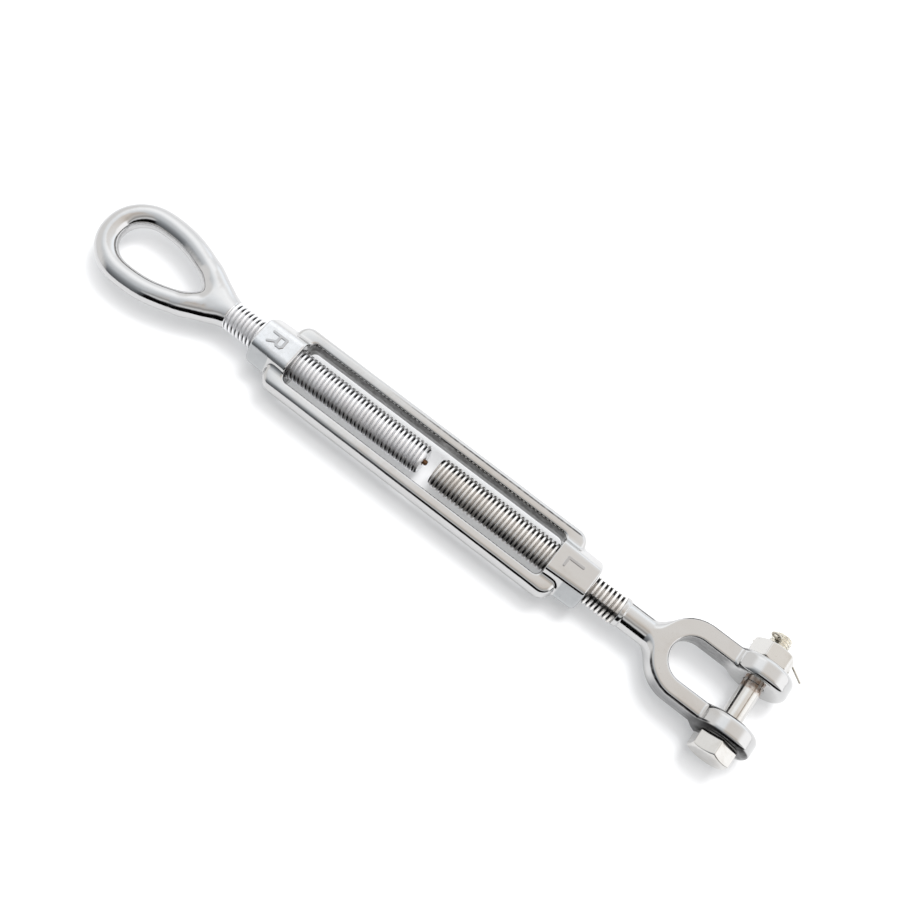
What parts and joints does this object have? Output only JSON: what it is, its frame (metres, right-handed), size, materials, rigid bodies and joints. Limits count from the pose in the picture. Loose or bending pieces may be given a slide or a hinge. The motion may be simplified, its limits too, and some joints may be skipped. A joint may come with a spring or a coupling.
{
  "type": "eye and jaw turnbuckle",
  "caption": "Open-body forged turnbuckle with a teardrop eye at one end and a jaw with bolt, nut and cotter pin at the other, for tensioning rigging.",
  "frame": {"origin": "centre of the open body, on the common axis of the two threaded rods", "axes": "+X along the thread axis towards the jaw, +Y along the jaw bolt towards its nut, +Z square to the flat of the body and the eye"},
  "size_m": [0.4009, 0.0681, 0.0304],
  "materials": {
    "forged_body": "polished",
    "forged_ends": "polished",
    "bolt_steel": "polished, slightly dulled",
    "cotter_steel": "drawn wire"
  },
  "bodies": {
    "body": {"turnbuckle_body": "forged_body"},
    "eye": {"eye_end": "forged_ends"},
    "jaw": {"jaw_end": "forged_ends"},
    "bolt_set": {"jaw_bolt": "bolt_steel", "jaw_nut": "bolt_steel", "cotter_pin": "cotter_steel"}
  },
  "joints": [
    {"name": "jaw_slide", "type": "slide", "parent": "body", "child": "jaw", "axis": [1, 0, 0], "range_m": [-0.0026, 0.0669]},
    {"name": "eye_slide", "type": "slide", "parent": "body", "child": "eye", "axis": [-1, 0, 0], "range_m": [-0.0026, 0.0669]},
    {"name": "bolt_turn", "type": "hinge", "parent": "jaw", "child": "bolt_set", "pos_m": [0.183, 0, 0], "axis": [0, 1, 0], "continuous": true}
  ],
  "couplings": [
    {"joint": "eye_slide", "follows": "jaw_slide", "ratio": 1}
  ]
}
